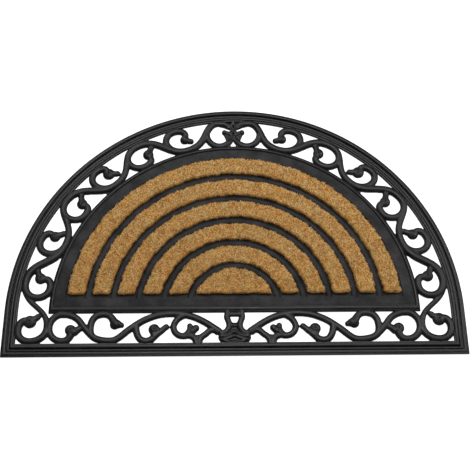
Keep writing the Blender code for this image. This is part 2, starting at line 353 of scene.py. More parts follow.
def sCurve(start, startHeading, startReach, end, endHeading, endReach, steps):
    leave = math.radians(startHeading)
    arrive = math.radians(endHeading)
    p0, p3 = Vector(start), Vector(end)
    p1 = p0 + startReach * Vector((math.cos(leave), math.sin(leave)))
    p2 = p3 - endReach * Vector((math.cos(arrive), math.sin(arrive)))
    points = []
    for step in range(steps + 1):
        k = step / steps
        m = 1 - k
        spot = m ** 3 * p0 + 3 * m * m * k * p1 + 3 * m * k * k * p2 + k ** 3 * p3
        points.append((spot.x, spot.y))
    return points


# Outer frame: three rounded ridges, spun over the arc and run on round the front corners

# Ridges are rows of middle, half width and height in mm
frameSet = {
    "lip": 0.6, "edge": 4.6, "bevel": (0.3, 0.7), "outerLevel": 5.6, "innerLevel": 5.2,
    "innerEdge": 4.2, "innerFoot": 0.9, "innerBevel": (0.4, 5.0), "fullness": 0.75, "ridgeSteps": 12,
    "steps": 144,
    "arc": {"grooves": (3.2, 5.0), "ridges": [(4.4, 3.2, 7.1), (11.2, 2.4, 6.1), (16.2, 2.6, 7.3)]},
    "front": {"grooves": (5.2, 3.0), "ridges": [(4.0, 2.5, 6.8), (8.9, 2.3, 7.1), (15.2, 3.0, 7.2)]}}


def frameSection(side):  # insets and heights in mm, from the outer foot to the inner one
    levels = (frameSet["outerLevel"], *side["grooves"], frameSet["innerLevel"])
    lip, edge, steps = frameSet["lip"], frameSet["edge"], frameSet["ridgeSteps"]
    points = [(-lip, 0), (-lip, edge), (frameSet["bevel"][0] - lip, edge + frameSet["bevel"][1])]
    for number, (middle, half, height) in enumerate(side["ridges"]):
        for step in range(steps + 1):
            turn = math.pi * step / steps
            level = levels[number] + (levels[number + 1] - levels[number]) * step / steps
            rise = (height - level) * math.sin(turn) ** frameSet["fullness"]
            points.append((middle - half * math.cos(turn), level + rise))
    width = frameWidth / mm + frameSet["innerFoot"]
    bevel, height = frameSet["innerBevel"]
    return points + [(width - bevel, height), (width, frameSet["innerEdge"]), (width, 0)]


def addFrame():
    section = frameSection(frameSet["arc"])
    bpy.ops.mesh.primitive_circle_add(vertices=len(section), fill_type="NOTHING")
    item = named("rubber_frame")
    moveTo(item, [(matRadius - inset * mm, centreY, height * mm) for inset, height in section])
    editAll(item, "SELECT")
    bpy.ops.mesh.spin(steps=frameSet["steps"], angle=-math.pi, center=(0, centreY, 0), axis=(0, 0, 1))
    objectMode()
    pickVertices(item, lambda co: abs(co.y - centreY) < touching)
    extrude(0, -matSide, 0)
    objectMode()
    places = placesOf(item)
    cut = places[:, 1] < centreY - matSide / 2
    inset = matRadius - np.abs(places[:, 0])
    places[cut, 1] += inset[cut]    # mitres the front corners
    spots = np.stack([inset, places[:, 2]], 1)
    for spot, (frontInset, height) in zip(section, frameSection(frameSet["front"])):
        same = cut & (np.abs(spots - np.array(spot) * mm).max(1) < touching)
        places[same, 1] += (frontInset - spot[0]) * mm
        places[same, 2] = height * mm
    moveTo(item, places)
    pickVertices(item, lambda co: co.y < centreY - matSide / 3)
    bpy.ops.mesh.bridge_edge_loops()
    objectMode()
    facesOut(item)
    shadeRound(item, mouldedEdge)
    dress(item, borderMaterial, "rubber", "rubber_mat")


addFrame()


# Inner plate: rim bead, flat, and the recess that takes the coir, with ribs between the inlays

# Each inlay's outer and inner radius in mm, and how much taller than half round it stands
coirRows = [(276.0, 247.4, 0.004), (234.9, 206.4, 0.002), (193.6, 165.3, 0.006), (152.0, 124.2, 0.007),
            (110.4, 82.4, 0.021), (68.6, 0, 0.08)]
coirCorner = 3.0 * mm
coirNodes = [f"coir_arc_{number}" for number in range(1, len(coirRows))] + ["coir_half_disc"]
coirLow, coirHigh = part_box("coir_arc_1")
coirBase = coirLow.y - centreY + 0.7 * mm     # the fibres' feet, just inside the solid's

plateSet = {"flat": 5.4, "floor": 2.0, "lip": 0.7, "lipBevel": (0.3, 0.25), "margin": 2.9 * mm,
            "frontMargin": 5.2 * mm, "bead": 7.5 * mm, "frontIn": 0.9 * mm, "frontWide": 1.3, "steps": 150}
# The bead and the groove inside it, as inset and height in mm
plateRim = [(-0.9, 0), (-0.9, 3.9), (-0.4, 4.6), (0.7, 5.2), (1.7, 6.1), (2.6, 6.85), (3.7, 7.15),
            (4.8, 7.15), (5.6, 6.6), (6.2, 5.4), (6.6, 4.4), (7.2, 4.2), (7.9, 4.7), (8.8, 5.25), (9.6, 5.4)]


def halfRound(radius, low):  # the part of a circle above a straight line, from right to left
    start, steps = math.asin(low / radius), plateSet["steps"]
    angles = [start + (math.pi - 2 * start) * step / steps for step in range(steps + 1)]
    return [(radius * math.cos(angle), radius * math.sin(angle)) for angle in angles]


def ringStack(name, rings):  # closes rings of equal length, face by face, into one solid
    count = len(rings[0])
    places = [place for ring in rings for place in ring]
    faces = [tuple(reversed(range(count)))]
    for level in range(len(rings) - 1):
        for k in range(count):
            a, b = level * count + k, level * count + (k + 1) % count
            faces.append((a, b, b + count, a + count))
    faces.append(tuple(range((len(rings) - 1) * count, len(rings) * count)))
    mesh = bpy.data.meshes.new(name)
    mesh.from_pydata([(x, y + centreY, z) for x, y, z in places], [], faces)
    item = newObject(name, mesh)
    facesOut(item)
    return item


def addPlate():
    outlines = []
    for inset, height in plateRim:
        low = plateSet["frontWide"] * inset * mm - plateSide + plateSet["frontIn"]
        outlines.append((plateRadius - inset * mm, low, height))
    flat, lip = plateSet["flat"], plateSet["lip"]
    bevelOut, bevelDown = plateSet["lipBevel"]
    recess = [(2 * lip, flat), (lip, flat), (bevelOut * lip, flat - bevelDown * lip), (0, flat - lip),
              (0, plateSet["floor"])]
    for out, height in recess:
        radius = coirRows[0][0] * mm + plateSet["margin"] + out * mm
        outlines.append((radius, coirBase - plateSet["frontMargin"] - out * mm, height))
    rings = []
    for radius, low, height in outlines:
        rings.append([(x, y, height * mm) for x, y in halfRound(radius, low)])
    return ringStack("rubber_plate", rings)


# A rib's section in mm, and where the groove along its outer side lies
ribSet = {
    "reach": 1.2 * mm, "groove": (3.8 * mm, 5.8 * mm),
    "section": [(-5.2, 1.5), (5.5, 1.5), (5.5, 2.3), (4.7, 3.2), (4.1, 5.0), (3.8, 6.8), (3.2, 7.3),
                (2.6, 6.8), (2.2, 5.6), (0, 5.3), (-3.6, 5.2), (-4.6, 4.4), (-5.1, 3.0)]}


def ribLine(number):  # its middle radius, its foot, and how many times as tall as half round it is
    outside, within = coirRows[number - 1], coirRows[number]
    radius = (outside[1] + within[0]) / 2 * mm
    low = coirBase - plateSet["frontMargin"] - ribSet["reach"]
    return radius, low, 1 + (outside[2] + within[2]) / 2


def inShadedGroove(x, y):  # between a rib and the next inlay out, where the rubber is darkened as painted shade
    start, end = ribSet["groove"]
    for number in range(1, len(coirRows)):
        radius, low, rise = ribLine(number)
        if start < math.hypot(x, low + (y - low) / rise) - radius < end and y > coirBase:
            return True
    return False


def addRib(number):  # between one inlay and the next, from the recess's front wall round to it again
    radius, low, rise = ribLine(number)
    outlines = [halfRound(radius + across * mm, low) for across, _ in ribSet["section"]]
    rings = []
    for spots in zip(*outlines):
        rings.append([(x, low + (y - low) * rise, height * mm)
                      for (x, y), (_, height) in zip(spots, ribSet["section"])])
    return ringStack(f"rib_{number}", rings)


plate = addPlate()
ribs = [addRib(number) for number in range(1, len(coirRows))]
pickOnly(plate, *ribs)
bpy.ops.object.join()
shadeRound(plate, mouldedEdge)
dress(plate, plateMaterial, "rubber", "rubber_mat")
plate.data.materials.append(borderMaterial)
plate.data.materials.append(shadedGrooveMaterial)
for face in plate.data.polygons:     # the rim bead is as smooth as the border, and the grooves are darkened as painted shade
    x, y = abs(face.center.x), face.center.y - centreY
    fromFront = (y + plateSide - plateSet["frontIn"]) / plateSet["frontWide"]
    if inShadedGroove(x, y):
        face.material_index = 2
    elif min(plateRadius - math.hypot(x, y), fromFront) < plateSet["bead"]:
        face.material_index = 1


# Scroll border: bars drawn as curves, knobs and pads, fused with soft moulded fillets

# Sizes in mm, for the bars, the knobs and their dimples
barSet = {"width": 11.6, "curl": 12.3, "height": 7.4, "wall": 1.6, "fullness": 2.3, "steps": 14,
          "fillet": 0.95, "smoothing": 3, "keep": 0.5}
knobSet = {"segments": 28, "rings": 20, "height": 8.2, "foot": 1.2, "flatness": 0.65}
eyeSet = {"rim": 0.35, "rimRadius": 2.7, "rimWidth": 0.9, "width": 1.15}
scrollSet = {
    "first": 24.5, "pitch": 74.8, "loop": (22.5, 23.2), "rail": 27.5, "widthPlaces": [0, 6, 19, 26],
    "knobWidths": [11.6, 11.7, 12, 12.6, 13], "tailWidths": [14, 13, 12, 11, 10.6, 10.4],
    "tipRadius": 5.1, "tipShade": 6.8}
webSet = {"height": 4.6, "shoulder": 1, "narrowing": 4}
pull = 0.57      # how far a quarter of a curl reaches along its tangents

# Each curl in mm, along the border and across it towards the rail that its back leans on: its lowest,
# furthest, highest and nearest points
curlRows = [
    ((-10, -21.4), (20.8, 3), (1, 21.3), (-15.4, 10)),
    ((-6, -20.2), (21.5, 1.6), (-1, 21.6), (-16.8, 13.1)),
    ((-10, -20.7), (17.6, 4.1), (1, 21.4), (-14.8, 13.1)),
    ((-6.4, -21.9), (17.6, 1.1), (-2.8, 21.3), (-17.8, 12.7)),
    ((-9.2, -21), (14.6, 2.2), (-3.2, 21.4), (-19.4, 10.6)),
    ((-5.6, -20.6), (19.2, 2), (-0.1, 21.8), (-15, 13)),
    ((-3.5, -24.4), (18.8, 2.3), (0.5, 22.3), (-16.2, 11.3))]
# Its knob, with the radius and the depth of the dimple, and the end of its tip
knobRows = [
    ((-12, 0.6), 8.4, 0, (-22.4, -5)), ((-16, 3.6), 9.6, 2, (-26.6, -6.8)),
    ((-13.4, 3.6), 10.6, 2.4, (-25.8, -5.3)), ((-16.6, 4.2), 9.4, 1.8, (-27.4, -7.3)),
    ((-17.4, 2), 9.4, 1, (-28.6, -8.4)), ((-14.6, 2.4), 9.6, 2.2, (-27, -6)),
    ((-14.2, 3.8), 10.8, 2.2, (-22.6, -8.3))]
# How far webs reach along the rail behind it, and along the other one
webRows = [
    ((-13, 17.6), (-34, 16.5)), ((-17, 18.6), (-31, 11.5)), ((-17, 13.6), (-28, 18.5)),
    ((-17, 16.6), (-27, 10.5)), ((-18, 9.6), (-33, 18.5)), ((-13, 18.6), (-23, 12.5)),
    ((-13, 16.6), (-18, 12))]
# Its stem: how far the start and the end run straight, and the width
stemRows = [(29, 46, 13), (39.5, 41, 13.4), (35.5, 44.5, 11.8), (40.5, 39.5, 13.2), (30.5, 47, 11.4),
            (43, 37, 14.2), (40, 40, 9.2)]


def barSection():
    half, steps = barSet["width"] / 2, barSet["steps"]
    points = [(-half, 0), (half, 0)]
    for step in range(steps + 1):
        turn = math.pi * step / steps
        across = math.copysign(abs(math.cos(turn)) ** (2 / barSet["fullness"]), math.cos(turn))
        rise = (barSet["height"] - barSet["wall"]) * math.sin(turn) ** (2 / barSet["fullness"])
        points.append((half * across, barSet["wall"] + rise))
    curve = bpy.data.curves.new("bar section", "CURVE")
    spline = curve.splines.new("POLY")
    spline.points.add(len(points) - 1)
    for point, (x, y) in zip(spline.points, points):
        point.co = (x * mm, y * mm, 0, 1)
    spline.use_cyclic_u = True
    return newObject("bar section", curve)


section = barSection()


def addBar(path, widths, lift=0.0):  # path in metres about the arc's centre, widths in mm
    curve = bpy.data.curves.new("bar", "CURVE")
    curve.dimensions = "3D"
    curve.twist_mode = "Z_UP"
    curve.bevel_mode = "OBJECT"
    curve.bevel_object = section
    curve.use_fill_caps = True
    spline = curve.splines.new("POLY")
    spline.points.add(len(path) - 1)
    for point, (x, y), width in zip(spline.points, path, widths):
        point.co = (x, y + centreY, lift * mm, 1)
        point.radius = width / barSet["width"]
    newObject("bar", curve)


def through(rows, steps):  # a smooth run through rows of x, y and width
    rows = [Vector(row) for row in (rows[0], *rows, rows[-1])]
    run = [rows[0]]
    for a, b, c, d in zip(rows, rows[1:], rows[2:], rows[3:]):
        for step in range(1, steps + 1):
            k = step / steps
            run.append(b + ((c - a) * k + (2 * a - 5 * b + 4 * c - d) * k ** 2
                            + (3 * b - a - 3 * c + d) * k ** 3) / 2)
    return run


# Rows are in mm about the arc's centre: x, y and the width, where that isn't the usual one
def bar(rows, lift=0.0, steps=6):
    run = through([(*row, barSet["width"])[:3] for row in rows], steps)
    addBar([(x * mm, y * mm) for x, y, _ in run], [width for _, _, width in run], lift)


eyes = []     # place and depth of each knob's dimple, pressed in once the border is fused


def addKnob(place, radius, height=knobSet["height"], eye=0.0):  # a round boss, place in metres
    foot = knobSet["foot"]
    bpy.ops.mesh.primitive_uv_sphere_add(segments=knobSet["segments"], ring_count=knobSet["rings"], radius=1)
    item = named("knob")
    places = placesOf(item)
    places[:, 2] = np.sign(places[:, 2]) * np.abs(places[:, 2]) ** knobSet["flatness"]
    places = places * (radius * mm, radius * mm, (height - foot) * mm)
    places[:, 2] = np.maximum(places[:, 2], -foot * mm)     # cut off at the floor
    moveTo(item, places + (place[0], place[1] + centreY, foot * mm))
    if eye:
        eyes.append((*place, eye))


def bud(x, y, radius, height=knobSet["height"], eye=0.0):  # place in mm
    addKnob((x * mm, y * mm), radius, height, eye)


def pressEyes(item):
    places = placesOf(item)
    upper = places[:, 2] > barSet["height"] * mm / 2
    for x, y, depth in eyes:
        away = np.hypot(np.abs(places[:, 0]) + x, places[:, 1] - centreY - y) / mm
        rim = eyeSet["rim"] * np.exp(-((away - eyeSet["rimRadius"]) / eyeSet["rimWidth"]) ** 2)
        places[:, 2] += (rim - depth * np.exp(-(away / eyeSet["width"]) ** 2)) * mm * upper
    moveTo(item, places)


def addPad(outline, height, shoulder):
    bpy.ops.mesh.primitive_circle_add(vertices=len(outline), fill_type="NGON")
    item = named("pad")
    moveTo(item, [(x * mm, y * mm + centreY, 0) for x, y in outline])
    editAll(item, "SELECT")
    extrude(0, 0, (height - shoulder) * mm)
    bpy.ops.mesh.inset(thickness=shoulder * mm, depth=shoulder * mm)
    objectMode()
    facesOut(item)


def onBorder(along, across):  # mm along the left half from the top, and out from the middle line
    radius = midline + across * mm
    quarter = midline * math.pi / 2
    if along * mm > quarter:
        return (-radius, quarter - along * mm)
    angle = along * mm / midline
    return (-radius * math.sin(angle), radius * math.cos(angle))


def curlPath(low, far, high, near):  # three quarters of a curl, from its lowest point round to its nearest
    path = sCurve(low, 0, pull * (far[0] - low[0]), far, 90, pull * (far[1] - low[1]), 12)
    path += sCurve(far, 90, pull * (high[1] - far[1]), high, 180, pull * (far[0] - high[0]), 10)[1:]
    path += sCurve(high, 180, pull * (high[0] - near[0]), near, 270, pull * (high[1] - near[1]), 8)[1:]
    return path


def addWeb(centre, side, start, end, near, rail):  # a low web between a curl and a rail
    narrow = webSet["narrowing"]
    spots = [(start, rail), ((start + end) / 2, rail), (end, rail)]
    spots += [(end - narrow, near), (start + narrow, near)]
    outline = [onBorder(centre + u, side * t) for u, t in spots]
    addPad([(x / mm, y / mm) for x, y in outline], webSet["height"], webSet["shoulder"])


def addScroll(number):
    row = number - 1
    low, far, high, near = curlRows[row]
    place, radius, eye, tip = knobRows[row]
    leave, arrive, stemWidth = stemRows[row]
    pitch, rail = scrollSet["pitch"], scrollSet["rail"]
    before = curlRows[row - 1][0] if row else (0, -scrollSet["loop"][1])
    stem = sCurve((before[0] - pitch, -before[1]), 0, leave, low, 0, arrive, 24)
    curl = sCurve(near, 270, 0.4 * (near[1] - place[1]), place, 270 if number % 2 else 250, 3, 5)
    body = stem + curlPath(low, far, high, near)[1:] + curl[1:]
    centre = scrollSet["first"] + pitch * number
    side = 1 if number % 2 else -1
    ends = scrollSet["knobWidths"]
    steady = [barSet["width"], stemWidth, stemWidth, barSet["curl"]]
    widths = list(np.interp(range(len(body) - len(ends)), scrollSet["widthPlaces"], steady)) + ends
    addBar([onBorder(centre + u, side * t) for u, t in body], widths)
    tail = sCurve(place, 215, 6, tip, 205, 4, 5)
    addBar([onBorder(centre + u, side * t) for u, t in tail], scrollSet["tailWidths"])
    addKnob(onBorder(centre + place[0], side * place[1]), radius, eye=eye)
    addKnob(onBorder(centre + tip[0], side * tip[1]), scrollSet["tipRadius"], scrollSet["tipShade"])
    behind, opposite = webRows[row]
    addWeb(centre, side, *behind, high[1], rail)
    addWeb(centre, side, *opposite, low[1], -rail)


def addTopMotif():  # left half of the loops, leaf and wings at the top middle
    ring = ellipseArc((scrollSet["first"], 0), *scrollSet["loop"], -122, 84, 40)
    ring = [(x / mm, y / mm) for x, y in (onBorder(u, t) for u, t in ring)]
    bar([(-2, 326, 6), (-2.6, 321.6, 7), (-4, 317, 8.6), (-7.2, 312.6, 10.6)] + ring + [(-15.5, 349.6, 11),
        (-10.5, 347.4, 10), (-6, 347.2, 9), (-2.6, 349.6, 7), (-1.2, 354, 6)], steps=2)
    bar([(-24, 348.6, 8), (-16, 346.6, 8), (-10, 343.8, 8), (-4.4, 341.6, 8)])
    bar([(-0.6, 354, 5), (-1.6, 349, 4), (-3, 343.4, 4), (-4.1, 338, 4), (-3.9, 334, 4), (-1, 330.2, 4.6)],
        4.0)
    bar([(-15.4, 332.2, 8.8), (-10, 331.2, 8.2), (-5.4, 328.6, 8), (-2, 325.2, 7)], 0.8)
    bud(-15.6, 332.4, 4.9, 7.4)
    bar([(-14.6, 329.4, 6), (-12.2, 324.6, 7), (-9.8, 319, 7.4), (-8.8, 312.6, 7.4)])
    addPad([(-24, 304), (-5.4, 301), (-3.6, 305), (-9, 309), (-22, 309)], 4.4, 1)


# Webs that join the front bars to the plate and to the rail: where they start and end in y, how much
# narrower they end, and their reach in x
frontWebs = [(1.5, -5, 6, [(-298, -255.5), (-231.5, -196.5), (-138, -66.5)]),
             (-53.5, -49.5, 4, [(-342, -313), (-290, -265), (-221, -190), (-154.5, -130)])]


def addFrontMotifs():  # left half of the front border, from the corner to the middle
    bar([(-282, -5.3), (-272, -5.7), (-262, -9.1), (-253.6, -15.1), (-245.5, -25.6), (-235.6, -36.7),
        (-224, -46.1), (-205, -49.8), (-190.3, -46.7), (-170, -30.6), (-151.4, -18), (-137, -11.3),
        (-122.9, -6.9), (-103, -4.9), (-84, -6.5), (-65.7, -11.3), (-51.4, -18), (-38, -26.3), (-24, -36)])
    secondRing = ellipseArc((-279.1, -27.2), 22, 22.6, 85, 280, 8)
    bar(secondRing + [(-268.6, -45.7, 12), (-265.6, -39.7, 13), (-266, -33.1, 13)])
    bud(-266.2, -31.7, 9.2, eye=2)
    bar([(-266, -36.1, 13), (-259.6, -34.7, 14), (-253, -30.1, 11.2), (-246.5, -27.1, 10)])
    bar([(-231.6, -41.1), (-233.8, -33.1), (-233.6, -23.1), (-231, -14.4), (-224.8, -7.9), (-215, -5.3),
        (-206.2, -6.5), (-200.4, -11.1, 12), (-196.4, -17.1, 13.6), (-192.4, -21.5, 15.4),
        (-188, -22.7, 13.6), (-184.4, -23.7, 9.6)])
    bud(-194.6, -22.7, 8.4, 7.6)
    bud(-184, -23.7, 4.8, 6.6)
    bar([(-160.5, -24.1), (-159.6, -32.1), (-157.4, -40.1), (-152, -47.9), (-143, -50.7), (-134.4, -47.7),
        (-127.4, -40.7, 11.4), (-118.8, -33.9, 10.6), (-112, -27.7, 9.8)])
    bud(-130.5, -31.5, 9.4, eye=2)
    bar([(-130.6, -32.5, 11), (-131, -38.1, 11.6), (-130, -44.1, 12)])
    bud(-111, -27.5, 5.2, 6.6)
    bar([(-82, -7.6), (-89.6, -11.7, 11.2), (-96, -18.5, 10.8), (-99.2, -27.1, 10.8), (-96.8, -35.5, 10.8),
        (-90.6, -41.1, 10.8), (-82.6, -42.9, 10.8), (-74.6, -41.9, 10.8), (-67, -44.5, 11), (-63, -50.1, 11),
        (-62, -58.1, 11)])
    bar([(-80, -41.7, 10.6), (-74.6, -37.7, 12), (-72.4, -32.1, 11), (-72.6, -26.5, 9)])
    bud(-72.6, -26.1, 4.8, 6.8)
    bar([(-76, -38.1, 10), (-69, -34.5, 13), (-62.8, -29.7, 10.4)])
    bud(-62.8, -29.7, 5.8, 7.4)
    bar([(-57, -58.1, 11), (-57, -50.5, 11), (-53.4, -44.5, 10.8), (-47, -39.7, 10.6), (-41, -34.5, 10.6),
        (-34, -32.7, 10.8), (-26, -37.5, 10.8)])
    bar([(-59.6, -45.1, 9), (-59.6, -49.1, 9), (-59.6, -58.1, 10)])
    bar([(-68, -45.5, 9.6), (-60, -45.5, 9.6), (-52, -44.1, 9.6)])
    for rail, near, narrow, spans in frontWebs:
        for start, end in spans:
            outline = [(start, rail), (end, rail), (end - narrow, near), (start + narrow, near)]
            addPad(outline, webSet["height"], webSet["shoulder"])


def addVase():  # left half of the handle's loop and of the bowl's rim at the front middle
    bar([(-11.8, 1, 10), (-11.8, -5.1, 10), (-12.6, -11.1, 10), (-10.4, -17.1, 10.2), (-8.8, -22.5, 10.2),
        (-9, -27.5, 10.2), (-12, -33.7, 10), (-17.4, -37.5, 10), (-22.8, -37.5, 10.4), (-30, -32.5, 11)])
    bar([(-24, -43.7, 4.6), (-16, -43.5, 4.6), (-10.5, -42.1, 4.6), (-5.5, -39.1, 4.8), (0.5, -34.9, 5)],
        3.6)
    bar([(-22, -49.7, 4.4), (-15, -48.5, 4.2), (-9, -46.5, 4), (-4, -44.5, 4), (0.5, -42.7, 4.4)], 3.4)
    bar([(-17, -51.3, 4), (-10, -52.5, 4), (0.5, -53.1, 4)], 3.4)


def addMiddle():  # what stands on the mat's own middle line
    addPad([(20, 349), (21, 357), (-21, 357), (-20, 349)], 2.6, 0.6)
    addPad([(4.2, 328), (4.4, 340), (3, 352), (-3, 352), (-4.4, 340), (-4.2, 328)], 2.0, 0.4)
    addPad([(12, 311), (12.2, 317), (14, 322), (16, 327), (0, 330), (-16, 327), (-14, 322), (-12.2, 317),
        (-12, 311), (-5.6, 311), (0, 317), (5.6, 311)], 3.4, 0.6)
    bar([(-12, -6.3, 8.6), (0, -6.5, 8.6), (12, -6.3, 8.6)], 0.4)
    bowl = [(6, -20.4), (10, -27), (14, -34), (24, -39), (27, -44.6), (26, -49.2), (22.4, -54.2), (22, -59)]
    addPad([(-x, y) for x, y in bowl] + bowl[::-1], 3.0, 0.6)
    bar([(-6, -25.9, 5), (0, -25.7, 5), (6, -25.9, 5)], 1.8)


def gather(before):  # everything made since then, as meshes
    made = [item for item in bpy.context.scene.objects if item not in before and item != section]
    pickOnly(*made)
    bpy.ops.object.convert(target="MESH")
    for item in made:
        item.data = item.data.copy()
    bpy.ops.object.transform_apply(location=True, rotation=True, scale=True)
    return made


def addBorder():
    before = set(bpy.context.scene.objects)
    for number in range(1, len(curlRows) + 1):
        addScroll(number)
    addTopMotif()
    addFrontMotifs()
    addVase()
    pickOnly(*gather(before))
    bpy.ops.object.join()
    border = named("border")
    facesOut(border)
    pickOnly(border)
    bpy.ops.object.duplicate()
    other = named("other half")
    moveTo(other, placesOf(other) * (-1, 1, 1))
    facesOut(other)
    before = set(bpy.context.scene.objects)
    addMiddle()
    pickOnly(border, other, *gather(before))
    bpy.ops.object.join()
    bpy.data.objects.remove(section)
    modify(border, "REMESH", mode="VOXEL", voxel_size=barSet["fillet"] * mm, adaptivity=0)
    modify(border, "SMOOTH", factor=0.5, iterations=barSet["smoothing"])
    pressEyes(border)
    print("border fused:", len(border.data.polygons), "faces")
    modify(border, "DECIMATE", ratio=barSet["keep"])
    for name, outwards in (("rubber_scrolls_left", 1), ("rubber_scrolls_right", -1)):
        pickOnly(border)
        bpy.ops.object.duplicate()
        item = named(name)
        editAll(item, "SELECT")
        bpy.ops.mesh.bisect(plane_co=(0, 0, 0), plane_no=(outwards, 0, 0), use_fill=True, clear_outer=True)
        objectMode()
        shadeRound(item, softEdge)
        dress(item, borderMaterial, "rubber", "rubber_mat")
    bpy.data.objects.remove(border)


addBorder()


# Coir inlays: a lumpy bed with a pile of fibres standing in it

raggedness = 1.5     # how strongly the cut edges wander
footShare = 0.6      # how much of that the straight feet do
# Lengths and heights of the edges' waves, in mm
edgeWaves = [(61, 0.35), (33, 0.3), (17, 0.3), (9.3, 0.26), (5.1, 0.22), (3.4, 0.16)]
outerRun, innerRun, footRun = 0, 10, 20     # set each kind of edge's waves apart


def ragged(along, seed):  # how far a cut edge wanders, in metres, at a distance along it
    total = 0
    for wave, (length, height) in enumerate(edgeWaves):
        total = total + height * np.sin(2 * math.pi * along / (length * mm) + 2.4 * wave * wave + 1.7 * seed)
    return total * raggedness * mm


def raggedFoot(along, number):
    return footShare * ragged(along, number + footRun)


def inlay(number):
    outer, inner, _ = coirRows[number]
    return outer * mm, inner * mm


def risen(number, y):
    return coirBase + (y - coirBase) * (1 + coirRows[number][2])


def inside(number, x, y):  # distance in from the nearest edge, and the way out from there
    outer, inner = inlay(number)
    radius, angle = np.hypot(x, y), np.arctan2(y, x)
    toOuter = outer + ragged(outer * angle, number + outerRun) - radius
    toFoot = y - coirBase - raggedFoot(x, number)
    side, out = toOuter, np.stack([x, y], 1) / radius[:, None]
    if inner:
        toInner = radius - inner - ragged(inner * angle, number + innerRun)
        nearer = toInner < toOuter
        side = np.where(nearer, toInner, toOuter)
        out[nearer] *= -1
    out[toFoot < side] = (0, -1)
    corner = coirCorner
    rounded = corner - np.hypot(np.maximum(corner - side, 0), np.maximum(corner - toFoot, 0))
    return np.where((side < corner) & (toFoot < corner), rounded, np.minimum(side, toFoot)), out


def softNoise(x, y, size, seed):
    return np.array([noise.noise(Vector((a / size, b / size, seed))) for a, b in zip(x, y)])


def addValues(mesh, name, values):  # one for each vertex, for the coir material to read
    mesh.attributes.new(name, "FLOAT", "POINT").data.foreach_set("value", values)


# Lumps are rows of height, size and seed in mm. The bed's tint is darker than the pile's and its height level
# low, as painted shade between the fibres
bedSet = {
    "top": 9.1 * mm, "step": 2.0 * mm, "halfDepth": 0.62, "tipIn": 0.4,
    "lumps": [(0.3, 3.1, 3), (0.22, 11, 9)], "fall": 2.6, "fallWidth": 3.0, "tint": 0.28,
    "tintSpread": 0.16, "grain": 1.3, "height": 0.2}


def footLine(fromSide):  # rounds the feet's corners
    drop = np.maximum(coirCorner - fromSide, 0)
    return coirBase + coirCorner - np.sqrt(coirCorner ** 2 - drop ** 2)


def bedPlan(number, s, t):  # places in plan, s out across the inlay and t along it, both from 0 to 1
    outer, inner = inlay(number)
    if inner:
        middle = inner + (outer - inner) * s
        foot = footLine(np.minimum(s, 1 - s) * (outer - inner))
        foot = foot + raggedFoot(middle * np.where(t < 0.5, 1, -1), number)
        start = np.arcsin(foot / middle)
        angle = start + (math.pi - 2 * start) * t
        innerEdge = ragged(inner * angle, number + innerRun)
        radius = middle + (1 - s) * innerEdge + s * ragged(outer * angle, number + outerRun)
        return radius * np.cos(angle), radius * np.sin(angle)
    reach = math.sqrt(outer ** 2 - coirBase ** 2) - bedSet["tipIn"] * coirCorner
    x = reach * np.cos(math.pi * t)
    angle = np.arctan2(np.sqrt(outer ** 2 - x ** 2), x)
    edge = outer + ragged(outer * angle, number + outerRun)
    top = np.sqrt(np.maximum(edge ** 2 - x ** 2, 0))
    foot = footLine(reach - np.abs(x)) + raggedFoot(x, number)
    return x, foot + np.maximum(top - foot, 0) * s


def addBed(number, name):
    outer, inner = inlay(number)
    step = bedSet["step"]
    if inner:
        counts = (round(math.pi * (outer + inner) / 2 / step), round((outer - inner) / step))
    else:
        counts = (round(2 * outer / step), round(outer * bedSet["halfDepth"] / step))
    bpy.ops.mesh.primitive_grid_add(x_subdivisions=counts[0], y_subdivisions=counts[1], size=1)
    item = named(name)
    places = placesOf(item)
    x, y = bedPlan(number, places[:, 1] + 0.5, places[:, 0] + 0.5)
    depth, _ = inside(number, x, y)
    lumps = sum(height * softNoise(x, y, size * mm, seed) for height, size, seed in bedSet["lumps"])
    fall = bedSet["fall"] * np.clip(1 - depth / (bedSet["fallWidth"] * mm), 0, 1) ** 2
    moveTo(item, np.stack([x, risen(number, y) + centreY, bedSet["top"] + (lumps - fall) * mm], 1))
    editAll(item, "SELECT")
    extrude(0, 0, -2 * bedSet["top"])
    objectMode()
    places = placesOf(item)
    places[places[:, 2] < 0, 2] = coirLow.z
    moveTo(item, places)
    pickVertices(item, lambda co: co.z < coirLow.z + touching)
    bpy.ops.mesh.dissolve_limited(angle_limit=math.radians(1))
    objectMode()
    facesOut(item)
    shadeRound(item, softEdge)
    places = placesOf(item)
    grain = softNoise(places[:, 0], places[:, 1], bedSet["grain"] * mm, 5)
    # Painted shade: the bed is darker than the pile, and its sides are fully shaded
    addValues(item.data, "tint", bedSet["tint"] + bedSet["tintSpread"] * grain)
    addValues(item.data, "height", np.where(places[:, 2] > bedSet["top"] / 2, bedSet["height"], 0))
    return item


def spikes(name, root, tip, width, tint, rootShade, tipShade):  # three-sided fibres as one mesh, with a painted shade level at root and tip
    count = len(root)
    randoms = np.random.default_rng(pileSet["seed"])
    turn = randoms.uniform(0, 2 * math.pi, count)
    corners = []
    for k in range(3):
        angle = turn + 2 * math.pi * k / 3
        ring = np.stack([np.cos(angle), np.sin(angle), np.zeros(count)], 1)
        corners.append(root + ring * width[:, None])
    places = np.stack(corners + [tip], 1).reshape(-1, 3)
    places[:, 1] += centreY
    first = np.arange(count)[:, None] * 4
    pattern = np.array([0, 1, 3, 1, 2, 3, 2, 0, 3, 0, 2, 1])     # three sides and the root
    loops = (first + pattern).ravel()
    mesh = bpy.data.meshes.new(name)
    mesh.vertices.add(len(places))
    mesh.vertices.foreach_set("co", places.ravel())
    mesh.loops.add(len(loops))
    mesh.loops.foreach_set("vertex_index", loops)
    mesh.polygons.add(count * 4)
    mesh.polygons.foreach_set("loop_start", np.arange(count * 4) * 3)
    mesh.update(calc_edges=True)
    mesh.validate()
    addValues(mesh, "tint", np.repeat(tint, 4))
    addValues(mesh, "height", np.stack([rootShade, rootShade, rootShade, tipShade], 1).ravel())
    return newObject(name, mesh)
